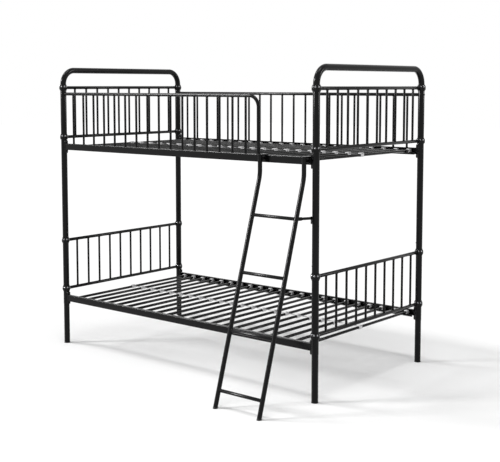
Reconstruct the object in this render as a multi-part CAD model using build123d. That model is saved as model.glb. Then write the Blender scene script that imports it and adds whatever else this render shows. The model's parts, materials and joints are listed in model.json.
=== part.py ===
from build123d import *
import os
from math import atan2, cos, degrees, hypot

# Bunk bed of round steel tube with a hook-on ladder, in millimetres.
# X runs along the bed, Y from the ladder side to the wall side, Z up from the floor.
# Pieces are drawn about the middle of the four posts, then moved so that the
# origin is the middle of the whole footprint, ladder included.

# Corner posts
post_span_x = 1929.0
post_span_y = 1016.0
post_od = 37.0
post_wall = 0.9
slip = 0.1  # radial clearance of a tube in its socket
overcut = 1.0  # cutters run this far past the faces they cut
plug_od = post_od - 2 * (post_wall + slip)  # legs, arches and couplings slide into the posts
plug_wall = 1.0
leg_insert = 90.0
arch_insert = 40.0
coupling_insert = 70.0

# Foot glides
glide_od = plug_od + 2.0
glide_thickness = 5.0
glide_plug = 20.0

# Heights
lower_rail_bottom = 268.0
bunk_rise = 948.0
collar_above_saddle = 2.5
panel_height = 303.5
arch_rise = 106.0
arch_bend = 85.0
guard_height = 305.0  # rail top edge to the guard's top tube

# End panels and guards
rail_od = 19.0
rail_wall = 1.2
spindle_od = 13.0
spindle_wall = 0.8
spindle_entry = 1.5  # spindle end inside the hollow of a rail
panel_spindles = 10
back_guard_spindles = 20
front_guard_spindles = 16
guard_bend = 62.0
guard_inset = rail_od / 2  # guard tube behind the side rail's outer face
guard_plug = 20.0
guard_end_cut = 5.0  # last gap beside the bend, narrower than the others

# Cast collars over the tube joints
collar_height = 36.0
collar_od = post_od + 13.0
collar_rim = 1.4
collar_belt = 6.0
socket_lip = 4.0  # collar top above the end of the post inside it

# Side rails, rolled from strip
side_rail_height = 39.0
side_rail_gauge = 2.0
side_rail_proud = rail_od / 2  # outer face beyond the post axis
top_flange = rail_od
shelf_reach = 36.0
shelf_height = 12.0
bend_outside = 3.0

# Rail end saddles and their bolts
saddle_height = 78.0
saddle_width = 21.0
saddle_reach = 6.5
saddle_corner = 5.0
saddle_bolt_offset = 29.5
bolt_d = 6.0
bolt_hole_d = 6.6
bolt_head_d = 11.0
bolt_head_height = 3.3
bolt_crown = 2.0
bolt_socket_af = 4.0
bolt_socket_depth = 2.0
nut_od = 11.0
nut_length = 7.0
bolt_past_nut = 1.0
thread_gap = 0.1
coupling_bolt_rise = 40.0

# Slats
slat_count = 22
slat_od = 16.0
slat_wall = 1.0
slat_end_margin = 69.9  # outermost slat to the post axis
slat_above_shelf = slat_od / 2 + 1.0
slat_end_gap = 9.0  # slat end to the inside of the rail wall
cap_width = slat_od + 4.0
cap_length = 28.0
cap_height = slat_above_shelf + slat_od / 2 + 2.5
spindle_below_flange = side_rail_height - side_rail_gauge - shelf_height - cap_height - 1.5
cap_wall_gap = 5.0
cap_corner = 3.0
cap_peg_d = 6.0
cap_peg_length = 6.0
peg_gap = 0.2
clip_length = 28.0
clip_width = slat_od + 5.0
clip_below = slat_od / 2 + 2.0
clip_above = slat_od / 2 + 4.5
clip_corner = 2.0
strap_width = 14.0
strap_thickness = 1.2
strap_above_slat = 0.3
strap_sag = 4.0
strap_slot_gap = 0.5
strap_flat = 9.0
strap_tail = 14.0

# Ladder
stile_od = 24.0
stile_wall = 1.5
ladder_width = 284.0
ladder_from_post = 45.5
ladder_lean = 353.0
ladder_standoff = 18.0
ladder_bend_drop = 64.0  # bend below the upper side rail
ladder_bend = 180.0
ladder_entry_margin = 43.0  # left stile to the end of the front guard
rung_count = 4
rung_od = 18.0
rung_wall = 1.2
first_rung = 87.5
top_rung_drop = 202.0
hook_width = 32.0
hook_thickness = 4.0
hook_drop = side_rail_height - shelf_height - cap_height - 1.0
hook_gap = 0.8
seat_gap = 0.2
pad_od = 14.0
pad_gap = 0.3
ladder_foot_od = stile_od + 1.0
ladder_foot_height = 32.0
ladder_foot_sole = 7.0

# Ladder brace
brace_thickness = 4.0
brace_height = 14.0
brace_pad_length = 19.0
brace_pad_width = 8.0
brace_pad_height = 18.0
tab_width = 22.0
tab_above = 8.0
tab_below = 30.0
tab_post_gap = 1.0
brace_screw_drop = 17.0
brace_head_d = 12.0
brace_head_height = 3.0
brace_head_gap = 0.3

# Worked out
post_x = post_span_x / 2
post_y = post_span_y / 2
post_r = post_od / 2
saddle_mid = side_rail_height / 2
panel_above_rail = saddle_mid + saddle_height / 2 + collar_above_saddle + collar_height / 2
upper_rail_bottom = lower_rail_bottom + bunk_rise
lower_panel_bottom = lower_rail_bottom + panel_above_rail
lower_panel_top = lower_panel_bottom + panel_height
upper_panel_bottom = upper_rail_bottom + panel_above_rail
upper_panel_top = upper_panel_bottom + panel_height
arch_z = upper_panel_top + arch_rise
post_bottom = lower_rail_bottom + saddle_mid - saddle_height / 2
post_split = lower_panel_top + collar_height / 2 - 1.5 * socket_lip
post_top = upper_panel_top + collar_height / 2 - socket_lip
rail_outer = post_y + side_rail_proud
rail_inner = rail_outer - side_rail_gauge
rail_end = post_x - post_r - saddle_reach
guard_y = rail_outer - guard_inset
guard_z = upper_rail_bottom + side_rail_height + guard_height
right_stile_x = post_x - ladder_from_post
left_stile_x = right_stile_x - ladder_width
guard_end_x = left_stile_x - ladder_entry_margin
slat_pitch = (post_span_x - 2 * slat_end_margin) / (slat_count - 1)
slat_places = [(i - (slat_count - 1) / 2) * slat_pitch for i in range(slat_count)]
cap_y = rail_inner - cap_wall_gap - cap_length / 2
slat_half = rail_inner - slat_end_gap
stile_r = stile_od / 2
ladder_top_y = -(rail_outer + ladder_standoff + stile_r)
ladder_foot_y = ladder_top_y - ladder_lean
ladder_bend_z = upper_rail_bottom - ladder_bend_drop
ladder_tilt = atan2(ladder_lean, ladder_bend_z)
hook_z = upper_rail_bottom + side_rail_height + seat_gap
top_rung = ladder_bend_z - top_rung_drop
rung_rise = (top_rung - first_rung) / (rung_count - 1)
ladder_front = ladder_foot_y - ladder_foot_od / 2 / cos(ladder_tilt)
bed_back = post_y + collar_od / 2
frame_shift = -(ladder_front + bed_back) / 2

corners = {
    "front_left": (-1, -1),
    "front_right": (1, -1),
    "back_left": (-1, 1),
    "back_right": (1, 1),
}
ends = {"left": -1, "right": 1}
sides = {"front": -1, "back": 1}
bunks = {"lower": lower_rail_bottom, "upper": upper_rail_bottom}
panels = {
    "lower": (lower_panel_bottom, lower_panel_top),
    "upper": (upper_panel_bottom, upper_panel_top),
}


def ring(diameter, wall):
    return Circle(diameter / 2) - Circle(diameter / 2 - wall)


def rod(start, end, diameter):
    axis = Vector(*end) - Vector(*start)
    return extrude(Plane(origin=start, z_dir=axis) * Circle(diameter / 2), amount=axis.length)


def tube(start, end, diameter, wall):
    axis = Vector(*end) - Vector(*start)
    return extrude(Plane(origin=start, z_dir=axis) * ring(diameter, wall), amount=axis.length)


def bent_tube(points, bend, diameter, wall):
    path = FilletPolyline(*points, radius=bend)
    return sweep(Plane(origin=path @ 0, z_dir=path % 0) * ring(diameter, wall), path=path)


def block(low, high):
    size = [b - a for a, b in zip(low, high)]
    middle = [(a + b) / 2 for a, b in zip(low, high)]
    return Pos(*middle) * Box(*size)


def save(name, *shapes):
    solids = [solid for shape in shapes for solid in shape.solids()]
    placed = [Pos(0, frame_shift, 0) * solid for solid in solids]
    export_step(placed[0] if len(placed) == 1 else Compound(placed), f"parts/{name}.step")


def post_core(side_x, side_y, diameter=post_od + 2 * slip):
    x, y = side_x * post_x, side_y * post_y
    return rod((x, y, -overcut), (x, y, arch_z), diameter)


# Bolts: a domed socket head on its seat, a plain shank, and a round nut
def bolt(seat, outward, shank):
    plane = Plane(origin=seat, z_dir=outward)
    head = extrude(plane * Circle(bolt_head_d / 2), amount=bolt_head_height)
    crown = head.faces().sort_by(Axis(seat, outward))[-1]
    head = fillet(crown.edges(), bolt_crown)
    socket = extrude(
        plane.offset(bolt_head_height) * RegularPolygon(bolt_socket_af / 2, 6, major_radius=False),
        amount=-bolt_socket_depth,
    )
    return head - socket + extrude(plane * Circle(bolt_d / 2), amount=-shank)


def saddle_bolt_places(side_x, side_y, rail_bottom):
    middle = rail_bottom + saddle_mid
    return [
        (side_x * rail_end, side_y * post_y, middle + step * saddle_bolt_offset) for step in (-1, 1)
    ]


def inner_nut(side_x, side_y, z, bore):
    reach = bore / 2 - slip
    start = (side_x * (post_x - reach), side_y * post_y, z)
    end = (side_x * (post_x - reach + nut_length), side_y * post_y, z)
    nut = tube(start, end, nut_od, (nut_od - bolt_d) / 2 - thread_gap)
    return nut & post_core(side_x, side_y, 2 * reach)


# Legs, posts and their couplings
def hole_rods(side_x, side_y):
    places = [p for z in bunks.values() for p in saddle_bolt_places(side_x, side_y, z)]
    places.append((side_x * rail_end, side_y * post_y, post_split + coupling_bolt_rise))
    return [rod(p, (side_x * post_x, p[1], p[2]), bolt_hole_d) for p in places]


def guard_bolt_rod(side_x, side_y):
    outside = side_x * (post_x + post_r + overcut)
    inside = side_x * (post_x - post_r - overcut)
    return rod((outside, side_y * guard_y, guard_z), (inside, side_y * guard_y, guard_z), bolt_hole_d)


brace_x = right_stile_x - post_x
brace_y = ladder_foot_y + ladder_lean * top_rung / ladder_bend_z + post_y
brace_reach = hypot(brace_x, brace_y)
brace_frame = Pos(post_x, -post_y, top_rung) * Rot(0, 0, degrees(atan2(brace_y, brace_x)))
brace_screw_hole = brace_frame * Pos(0, 0, -brace_screw_drop) * rod((0, 0, 0), (post_od, 0, 0), bolt_hole_d)


def make_posts():
    glides = []
    couplings = []
    for name, (side_x, side_y) in corners.items():
        x, y = side_x * post_x, side_y * post_y
        holes = hole_rods(side_x, side_y)
        leg = tube((x, y, glide_thickness), (x, y, post_bottom + leg_insert), plug_od, plug_wall)
        lower = tube((x, y, post_bottom), (x, y, post_split), post_od, post_wall)
        upper = tube((x, y, post_split), (x, y, post_top), post_od, post_wall) - holes
        if name != "front_right":
            upper -= guard_bolt_rod(side_x, side_y)
        else:
            upper -= brace_screw_hole
        save(f"leg_{name}", leg - holes)
        save(f"lower_post_{name}", lower - holes)
        save(f"upper_post_{name}", upper)
        coupling = tube(
            (x, y, post_split - coupling_insert), (x, y, post_split + coupling_insert), plug_od, plug_wall
        )
        couplings.append(coupling - holes)
        sole = rod((x, y, 0), (x, y, glide_thickness), glide_od)
        plug_top = (x, y, glide_thickness + glide_plug)
        glides.append(sole + rod((x, y, glide_thickness), plug_top, plug_od - 2 * (plug_wall + slip)))
    save("post_couplings", *couplings)
    save("foot_glides", *glides)


def make_arches():
    for name, side_x in ends.items():
        x = side_x * post_x
        low = post_top - arch_insert
        points = [(x, -post_y, low), (x, -post_y, arch_z), (x, post_y, arch_z), (x, post_y, low)]
        save(f"arch_{name}", bent_tube(points, arch_bend, plug_od, plug_wall))


# Collars: double cones bored for the post, with a side socket for the cross rail
def collar(side_x, side_y, z, capped):
    half = collar_height / 2
    bore = post_r + slip
    rim = bore + collar_rim
    belt = collar_belt / 2
    outline = [(bore, -half), (rim, -half), (collar_od / 2, -belt), (collar_od / 2, belt), (rim, half)]
    if capped:
        neck = plug_od / 2 + slip
        step = post_top - z
        outline += [(neck, half), (neck, step), (bore, step)]
    else:
        outline += [(bore, half)]
    profile = make_face(Plane.XZ * Polyline(*outline, close=True))
    body = Pos(side_x * post_x, side_y * post_y, z) * revolve(profile, Axis.Z)
    socket = rod((side_x * post_x, side_y * post_y, z), (side_x * post_x, 0, z), rail_od + 2 * slip)
    return body - socket


def make_collars():
    for name, levels in panels.items():
        collars = [
            collar(side_x, side_y, z, z == upper_panel_top)
            for side_x, side_y in corners.values()
            for z in levels
        ]
        save(f"{name}_collars", *collars)


# End panels: two cross rails with a row of spindles let into them
def spindle_hole(x, y, z, toward):
    return rod((x, y, z), (x, y, z + toward * rail_od), spindle_od + 2 * slip)


def make_panels():
    spindle_step = post_span_y / (panel_spindles + 1)
    rows = [(i + 1) * spindle_step - post_y for i in range(panel_spindles)]
    inside = rail_od / 2 - rail_wall - spindle_entry
    for level, (low, high) in panels.items():
        for end, side_x in ends.items():
            x = side_x * post_x
            posts = [post_core(side_x, -1), post_core(side_x, 1)]
            for place, z, toward in (("bottom", low, 1), ("top", high, -1)):
                rail = tube((x, -post_y, z), (x, post_y, z), rail_od, rail_wall)
                rail -= posts + [spindle_hole(x, y, z, toward) for y in rows]
                save(f"{level}_{end}_{place}_rail", rail.solids().sort_by(SortBy.VOLUME)[-1])
            foot, head = low + inside, high - inside
            spindles = [tube((x, y, foot), (x, y, head), spindle_od, spindle_wall) for y in rows]
            save(f"{level}_{end}_spindles", *spindles)


# Guards: a top tube over spindles that stand in the side rail's flange
def guard_rows(end_x, count):
    step = (end_x + post_x) / (count + 1)
    return [(i + 1) * step - post_x for i in range(count)]


guard_spans = {
    "front": guard_rows(guard_end_x + guard_end_cut, front_guard_spindles),
    "back": guard_rows(post_x, back_guard_spindles),
}


def guard_plug_piece(start, direction):
    end = tuple(a + guard_plug * b for a, b in zip(start, direction))
    inner = rail_od - 2 * (rail_wall + slip)
    return tube(start, end, inner, (inner - bolt_d) / 2 - thread_gap)


def make_guards():
    flange_top = upper_rail_bottom + side_rail_height
    flange_under = flange_top - side_rail_gauge
    plugs = []
    bolts = []
    for side, side_y in sides.items():
        y = side_y * guard_y
        rows = guard_spans[side]
        if side == "front":
            points = [(-post_x, y, guard_z), (guard_end_x, y, guard_z), (guard_end_x, y, flange_top)]
            guard = bent_tube(points, guard_bend, rail_od, rail_wall)
            held_ends = [-1]
            plugs.append(guard_plug_piece((guard_end_x, y, flange_top), (0, 0, 1)))
            bolts.append(bolt((guard_end_x, y, flange_under), (0, 0, -1), side_rail_gauge + guard_plug))
        else:
            guard = tube((-post_x, y, guard_z), (post_x, y, guard_z), rail_od, rail_wall)
            held_ends = [-1, 1]
        guard -= [post_core(side_x, side_y) for side_x in held_ends]
        guard -= [spindle_hole(x, y, guard_z, -1) for x in rows]
        save(f"{side}_guard_tube", guard.solids().sort_by(SortBy.VOLUME)[-1])
        for side_x in held_ends:
            start = (side_x * (post_x - post_r - slip), y, guard_z)
            plugs.append(guard_plug_piece(start, (-side_x, 0, 0)))
            seat = (side_x * (post_x + post_r), y, guard_z)
            bolts.append(bolt(seat, (side_x, 0, 0), post_od + guard_plug))
        inside = rail_od / 2 - rail_wall - spindle_entry
        low = flange_under - spindle_below_flange
        spindles = [tube((x, y, low), (x, y, guard_z - inside), spindle_od, spindle_wall) for x in rows]
        save(f"{side}_guard_spindles", *spindles)
    save("guard_end_plugs", *plugs)
    save("guard_bolts", *bolts)


# Side rails: an outer wall, a top flange and a shelf with a turned-down lip
def side_rail_section(rail_bottom):
    top = rail_bottom + side_rail_height
    shelf = rail_bottom + shelf_height
    gauge = side_rail_gauge
    lip = rail_outer - shelf_reach
    flange = rail_outer - top_flange
    outline = [
        (rail_outer, rail_bottom),
        (rail_outer, top),
        (flange, top),
        (flange, top - gauge),
        (rail_inner, top - gauge),
        (rail_inner, shelf),
        (lip, shelf),
        (lip, rail_bottom),
        (lip + gauge, rail_bottom),
        (lip + gauge, shelf - gauge),
        (rail_inner, shelf - gauge),
        (rail_inner, rail_bottom),
    ]
    section = make_face(Polyline(*outline, close=True))
    for corner, radius in (
        ((rail_outer, top), bend_outside),
        ((rail_inner, top - gauge), bend_outside - gauge),
        ((lip, shelf), bend_outside),
        ((lip + gauge, shelf - gauge), bend_outside - gauge),
    ):
        section = fillet(section.vertices().sort_by_distance(Vector(*corner))[0], radius)
    return section


def make_side_rails():
    for level, rail_bottom in bunks.items():
        shelf = rail_bottom + shelf_height
        flange_top = rail_bottom + side_rail_height
        peg_low = shelf - 2 * side_rail_gauge
        hole_low = flange_top - 2 * side_rail_gauge
        hole_high = flange_top + overcut
        for side, side_y in sides.items():
            rail = extrude(Plane.YZ.offset(-rail_end) * side_rail_section(rail_bottom), amount=2 * rail_end)
            holes = [
                rod((x, cap_y, peg_low), (x, cap_y, shelf + overcut), cap_peg_d + 2 * peg_gap)
                for x in slat_places
            ]
            if level == "upper":
                holes += [
                    rod((x, guard_y, hole_low), (x, guard_y, hole_high), spindle_od + 2 * slip)
                    for x in guard_spans[side]
                ]
                if side == "front":
                    low, high = (guard_end_x, guard_y, hole_low), (guard_end_x, guard_y, hole_high)
                    holes.append(rod(low, high, bolt_hole_d))
            rail -= holes
            if side_y < 0:
                rail = mirror(rail, Plane.XZ)
            save(f"{level}_{side}_side_rail", rail)


# Saddles welded to the rail ends and bolted through the posts
def make_saddles():
    saddles = []
    bolts = []
    nuts = []
    for rail_bottom in bunks.values():
        middle = rail_bottom + saddle_mid
        for side_x, side_y in corners.values():
            x_range = sorted((side_x * rail_end, side_x * (post_x - post_r / 2)))
            low = (x_range[0], side_y * post_y - saddle_width / 2, middle - saddle_height / 2)
            high = (x_range[1], side_y * post_y + saddle_width / 2, middle + saddle_height / 2)
            saddle = block(low, high)
            saddle = fillet(saddle.edges().filter_by(Axis.X), saddle_corner)
            places = saddle_bolt_places(side_x, side_y, rail_bottom)
            holes = [rod(p, (side_x * post_x, p[1], p[2]), bolt_hole_d) for p in places]
            saddles.append(saddle - [post_core(side_x, side_y)] - holes)
            bore = post_od - 2 * post_wall if rail_bottom == upper_rail_bottom else plug_od - 2 * plug_wall
            for place in places:
                nuts.append(inner_nut(side_x, side_y, place[2], bore))
                reach = post_x - bore / 2 + nut_length + bolt_past_nut
                bolts.append(bolt(place, (-side_x, 0, 0), reach - rail_end))
    coupling_z = post_split + coupling_bolt_rise
    coupling_bore = plug_od - 2 * plug_wall
    for side_x, side_y in corners.values():
        seat = (side_x * (post_x - post_r), side_y * post_y, coupling_z)
        nuts.append(inner_nut(side_x, side_y, coupling_z, coupling_bore))
        bolts.append(bolt(seat, (-side_x, 0, 0), post_r - coupling_bore / 2 + nut_length + bolt_past_nut))
    save("rail_saddles", *saddles)
    save("frame_bolts", *bolts)
    save("frame_nuts", *nuts)


# Slats with an end cap on each shelf, a middle clip and a spacing strap
def slat_cap(x, side_y, shelf):
    y = side_y * cap_y
    low = (x - cap_width / 2, y - cap_length / 2, shelf)
    high = (x + cap_width / 2, y + cap_length / 2, shelf + cap_height)
    cap = block(low, high)
    cap = fillet(cap.edges().filter_by(Axis.Z), cap_corner)
    z = shelf + slat_above_shelf
    socket = rod((x, 0, z), (x, side_y * (slat_half + peg_gap), z), slat_od + 2 * slip)
    peg = rod((x, y, shelf - cap_peg_length), (x, y, shelf), cap_peg_d)
    return cap - socket + peg


def slat_clip(x, z):
    low = (x - clip_width / 2, -clip_length / 2, z - clip_below)
    high = (x + clip_width / 2, clip_length / 2, z + clip_above)
    clip = fillet(block(low, high).edges().filter_by(Axis.Y), clip_corner)
    bore = rod((x, -clip_length, z), (x, clip_length, z), slat_od + 2 * slip)
    slot_half = strap_width / 2 + strap_slot_gap
    slot_top = z + slat_od / 2 + strap_above_slat + strap_thickness + strap_slot_gap
    slot = block((x - clip_width, -slot_half, z), (x + clip_width, slot_half, slot_top))
    return clip - bore - slot


def strap_edge(height):
    lines = []
    last = (slat_places[0] - strap_tail, height)
    for x, following in zip(slat_places, slat_places[1:]):
        start = (x + strap_flat, height)
        end = (following - strap_flat, height)
        lines.append(Line(last, start))
        lines.append(ThreePointArc(start, ((start[0] + end[0]) / 2, height - strap_sag), end))
        last = end
    lines.append(Line(last, (slat_places[-1] + strap_tail, height)))
    return lines


def make_strap(z):
    low = z + slat_od / 2 + strap_above_slat
    high = low + strap_thickness
    start = slat_places[0] - strap_tail
    end = slat_places[-1] + strap_tail
    outline = strap_edge(low) + strap_edge(high)
    outline += [Line((start, low), (start, high)), Line((end, low), (end, high))]
    face = Plane.XZ * make_face(Curve(outline).edges())
    return extrude(face, amount=strap_width / 2, both=True)


def make_slats():
    for level, rail_bottom in bunks.items():
        shelf = rail_bottom + shelf_height
        z = shelf + slat_above_shelf
        slats = [tube((x, -slat_half, z), (x, slat_half, z), slat_od, slat_wall) for x in slat_places]
        caps = [slat_cap(x, side_y, shelf) for x in slat_places for side_y in sides.values()]
        clips = [slat_clip(x, z) for x in slat_places]
        save(f"{level}_slats", *slats)
        save(f"{level}_slat_caps", *caps)
        save(f"{level}_slat_clips", *clips)
        save(f"{level}_slat_strap", make_strap(z))


# Ladder: two bent stiles with rungs, hooks, bumpers, feet and a brace to the post
def stile_point(x, z):
    return (x, ladder_foot_y + ladder_lean * z / ladder_bend_z, z)


def stile_core(x, diameter):
    return rod(stile_point(x, -ladder_foot_height), stile_point(x, ladder_bend_z), diameter)


def make_hook(x):
    back = -(rail_outer - top_flange) + hook_gap
    left, right = x - hook_width / 2, x + hook_width / 2
    plate = block(
        (left, ladder_top_y - stile_r, hook_z),
        (right, back + hook_thickness, hook_z + hook_thickness),
    )
    lip = block((left, back, hook_z - seat_gap - hook_drop), (right, back + hook_thickness, hook_z))
    return plate + lip


def make_foot(x):
    sole = rod(stile_point(x, -ladder_foot_height), stile_point(x, ladder_foot_sole), ladder_foot_od)
    plug_d = stile_od - 2 * (stile_wall + slip)
    plug = rod(stile_point(x, 0), stile_point(x, ladder_foot_height), plug_d)
    reach = 2 * ladder_foot_od
    floor = block(
        (x - reach, ladder_foot_y - reach, -2 * ladder_foot_height), (x + reach, ladder_foot_y + reach, 0)
    )
    return sole + plug - floor


def make_ladder():
    stiles = {"left": left_stile_x, "right": right_stile_x}
    hooks = []
    pads = []
    feet = []
    for name, x in stiles.items():
        points = [
            stile_point(x, ladder_foot_sole + slip),
            stile_point(x, ladder_bend_z),
            (x, ladder_top_y, hook_z),
        ]
        save(f"ladder_stile_{name}", bent_tube(points, ladder_bend, stile_od, stile_wall))
        hooks.append(make_hook(x))
        pad_z = upper_rail_bottom + saddle_mid
        pad = rod((x, ladder_top_y, pad_z), (x, -(rail_outer + pad_gap), pad_z), pad_od)
        upright = rod((x, ladder_top_y, ladder_bend_z), (x, ladder_top_y, hook_z), stile_od + 2 * slip)
        pads.append(pad - upright)
        feet.append(make_foot(x))
    rungs = []
    for i in range(rung_count):
        z = first_rung + i * rung_rise
        rung = tube(stile_point(left_stile_x, z), stile_point(right_stile_x, z), rung_od, rung_wall)
        rung -= [stile_core(x, stile_od + 2 * slip) for x in stiles.values()]
        rungs.append(rung.solids().sort_by(SortBy.VOLUME)[-1])
    save("ladder_hooks", *hooks)
    save("ladder_pads", *pads)
    save("ladder_feet", *feet)
    save("ladder_rungs", *rungs)


def make_brace():
    tab_start = post_r + tab_post_gap
    tab_end = tab_start + brace_thickness
    tab = block((tab_start, -tab_width / 2, -tab_below), (tab_end, tab_width / 2, tab_above))
    slot_start, slot_end = tab_start - overcut, tab_end + overcut
    slot = block(
        (slot_start, -bolt_hole_d / 2, -tab_below - overcut), (slot_end, bolt_hole_d / 2, -brace_screw_drop)
    )
    slot_top = rod((slot_start, 0, -brace_screw_drop), (slot_end, 0, -brace_screw_drop), bolt_hole_d)
    strip = block(
        (tab_end, -brace_thickness / 2, -brace_height / 2),
        (brace_reach, brace_thickness / 2, brace_height / 2),
    )
    pad = block(
        (brace_reach - stile_r - brace_pad_length, -brace_pad_width / 2, -brace_pad_height / 2),
        (brace_reach, brace_pad_width / 2, brace_pad_height / 2),
    )
    brace = brace_frame * (tab - slot - slot_top + strip + pad)
    brace -= stile_core(right_stile_x, stile_od + 2 * slip)
    save("ladder_brace", brace.solids().sort_by(SortBy.VOLUME)[-1])
    seat = tab_end + brace_head_gap
    head = rod((seat, 0, -brace_screw_drop), (seat + brace_head_height, 0, -brace_screw_drop), brace_head_d)
    end = post_r - post_wall - nut_length
    shank = rod((end, 0, -brace_screw_drop), (seat, 0, -brace_screw_drop), bolt_d)
    save("brace_screw", brace_frame * (head + shank))


os.makedirs("parts", exist_ok=True)
make_posts()
make_arches()
make_collars()
make_panels()
make_guards()
make_side_rails()
make_saddles()
make_slats()
make_ladder()
make_brace()
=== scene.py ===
import json
from math import atan2, cos, hypot, pi, radians, sin, tan

import bmesh
import bpy
from mathutils import Matrix, Vector


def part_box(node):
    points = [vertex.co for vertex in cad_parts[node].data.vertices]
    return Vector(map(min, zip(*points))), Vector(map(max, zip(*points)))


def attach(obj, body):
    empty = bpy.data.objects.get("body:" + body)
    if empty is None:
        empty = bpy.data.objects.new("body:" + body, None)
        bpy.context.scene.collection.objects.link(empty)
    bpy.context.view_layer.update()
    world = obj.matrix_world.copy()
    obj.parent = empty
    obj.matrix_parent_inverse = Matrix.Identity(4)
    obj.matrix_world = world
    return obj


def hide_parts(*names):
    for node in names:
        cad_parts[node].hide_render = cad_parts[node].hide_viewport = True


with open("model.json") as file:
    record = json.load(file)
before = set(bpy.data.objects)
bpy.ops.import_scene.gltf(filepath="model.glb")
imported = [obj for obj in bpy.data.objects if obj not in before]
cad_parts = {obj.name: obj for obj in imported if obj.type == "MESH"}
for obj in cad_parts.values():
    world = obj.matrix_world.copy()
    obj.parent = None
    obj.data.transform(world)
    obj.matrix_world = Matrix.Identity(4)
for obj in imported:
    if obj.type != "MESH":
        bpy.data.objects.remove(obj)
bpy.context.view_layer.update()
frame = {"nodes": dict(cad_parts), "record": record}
mm = 0.001
corners = {"front_left": -1, "front_right": 1, "back_left": -1, "back_right": 1}  # which way along X
ends = ("left", "right")
sides = {"front": -1, "back": 1}  # which way along Y
levels = ("lower", "upper")
print("frame loaded:", len(frame["nodes"]), "nodes")


# Node trees are written as sums of wires
class Wire:
    def __init__(self, tree, socket=None):
        self.tree = tree
        self.socket = socket

    def node(self, kind, settings, inputs, output=0):
        made = self.tree.nodes.new(kind)
        for key, value in settings.items():
            setattr(made, key, value)
        for key, value in inputs.items():
            if isinstance(value, Wire):
                self.tree.links.new(value.socket, made.inputs[key])
            else:
                made.inputs[key].default_value = value
        return Wire(self.tree, made.outputs[output] if made.outputs else None)

    def maths(self, operation, first, second=0.0):
        return self.node("ShaderNodeMath", {"operation": operation}, {0: first, 1: second})

    def __add__(self, other):
        return self.maths("ADD", self, other)

    def __radd__(self, other):
        return self.maths("ADD", other, self)

    def __sub__(self, other):
        return self.maths("SUBTRACT", self, other)

    def __mul__(self, other):
        return self.maths("MULTIPLY", self, other)

    def __rmul__(self, other):
        return self.maths("MULTIPLY", other, self)


def startMaterial(name):
    material = bpy.data.materials.new(name)
    material.use_nodes = True
    material.node_tree.nodes.clear()
    wire = Wire(material.node_tree)
    coords = wire.node("ShaderNodeTexCoord", {}, {}, "Object")
    return material, wire, coords


def noise(wire, coords, scale, detail=2.0):
    return wire.node("ShaderNodeTexNoise", {}, {"Vector": coords, "Scale": scale, "Detail": detail})


def colourMix(wire, factor, dark, light):
    shades = {6: dark, 7: light}
    inputs = {key: value if isinstance(value, Wire) else (*value, 1) for key, value in shades.items()}
    return wire.node("ShaderNodeMix", {"data_type": "RGBA"}, {0: factor, **inputs}, 2)


def surface(wire, sockets, height, strength, distance):
    bump = wire.node("ShaderNodeBump", {}, {"Strength": strength, "Distance": distance, "Height": height})
    sockets = {**sockets, "Normal": bump}
    shader = wire.node("ShaderNodeBsdfPrincipled", {}, sockets)
    wire.node("ShaderNodeOutputMaterial", {}, {"Surface": shader})


coat = {
    "dark": (0.0022, 0.0022, 0.0024),
    "light": (0.0042, 0.0042, 0.0046),
    "gloss": 0.19,
    "glossSpread": 0.06,
    "specular": 0.14,
    "peelScale": 950.0,
    "patchScale": 14.0,
    "fleckScale": 5200.0,
    "fleckShare": 0.4,
    "fleckGloss": 0.06,
    "fleckHeight": 0.25,
    "bump": 0.06,
    "bumpDepth": 0.4 * mm,
}
# painted glints for the collars' upper petals: light metallic grey, broken up by noise
glintPaint = {"colour": (0.30, 0.30, 0.31), "scale": 420.0, "least": 0.6, "spread": 0.8}


def powderCoat(name, glinted=False):
    material, wire, coords = startMaterial(name)
    peel = noise(wire, coords, coat["peelScale"], 2.5)
    patch = noise(wire, coords, coat["patchScale"], 3.0)
    fleck = noise(wire, coords, coat["fleckScale"], 1.0)
    tone = patch * (1 - coat["fleckShare"]) + fleck * coat["fleckShare"]
    gloss = coat["gloss"] + coat["glossSpread"] * (patch - 0.5)
    sockets = {
        "Base Color": colourMix(wire, tone, coat["dark"], coat["light"]),
        "Roughness": gloss + coat["fleckGloss"] * (fleck - 0.5),
        "Specular IOR Level": coat["specular"],
    }
    if glinted:  # painted glints: a light metallic grey on the hearts of the upper petals stands in for highlights
        edge = wire.node("ShaderNodeAttribute", {"attribute_name": "paintedGlint"}, {}, "Fac")
        grain = glintPaint["least"] + glintPaint["spread"] * noise(wire, coords, glintPaint["scale"])
        glintShare = wire.maths("MINIMUM", edge * grain, 1.0)
        sockets["Base Color"] = colourMix(wire, glintShare, sockets["Base Color"], glintPaint["colour"])
        sockets["Metallic"] = glintShare
    surface(wire, sockets, peel + coat["fleckHeight"] * fleck, coat["bump"], coat["bumpDepth"])
    return material


fixing = {
    "dark": (0.012, 0.012, 0.013),
    "light": (0.03, 0.03, 0.032),
    "gloss": 0.30,
    "glossSpread": 0.2,
    "metallic": 0.55,
    "grainScale": 2600.0,
    "patchScale": 90.0,
    "bump": 0.12,
    "bumpDepth": 0.2 * mm,
}


def blackFixing():
    material, wire, coords = startMaterial("blackFixing")
    grain = noise(wire, coords, fixing["grainScale"], 3.0)
    patch = noise(wire, coords, fixing["patchScale"])
    sockets = {
        "Base Color": colourMix(wire, patch, fixing["dark"], fixing["light"]),
        "Roughness": fixing["gloss"] + fixing["glossSpread"] * (grain - 0.4),
        "Metallic": fixing["metallic"],
    }
    surface(wire, sockets, grain, fixing["bump"], fixing["bumpDepth"])
    return material


nylon = {
    "dark": (0.58, 0.58, 0.585),
    "light": (0.72, 0.72, 0.725),
    "gloss": 0.45,
    "patchGloss": 0.2,
    "grainGloss": 0.1,
    "specular": 0.4,
    "grainScale": 3200.0,
    "patchScale": 55.0,
    "grainShare": 0.2,
    "bump": 0.15,
    "bumpDepth": 0.2 * mm,
}


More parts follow.
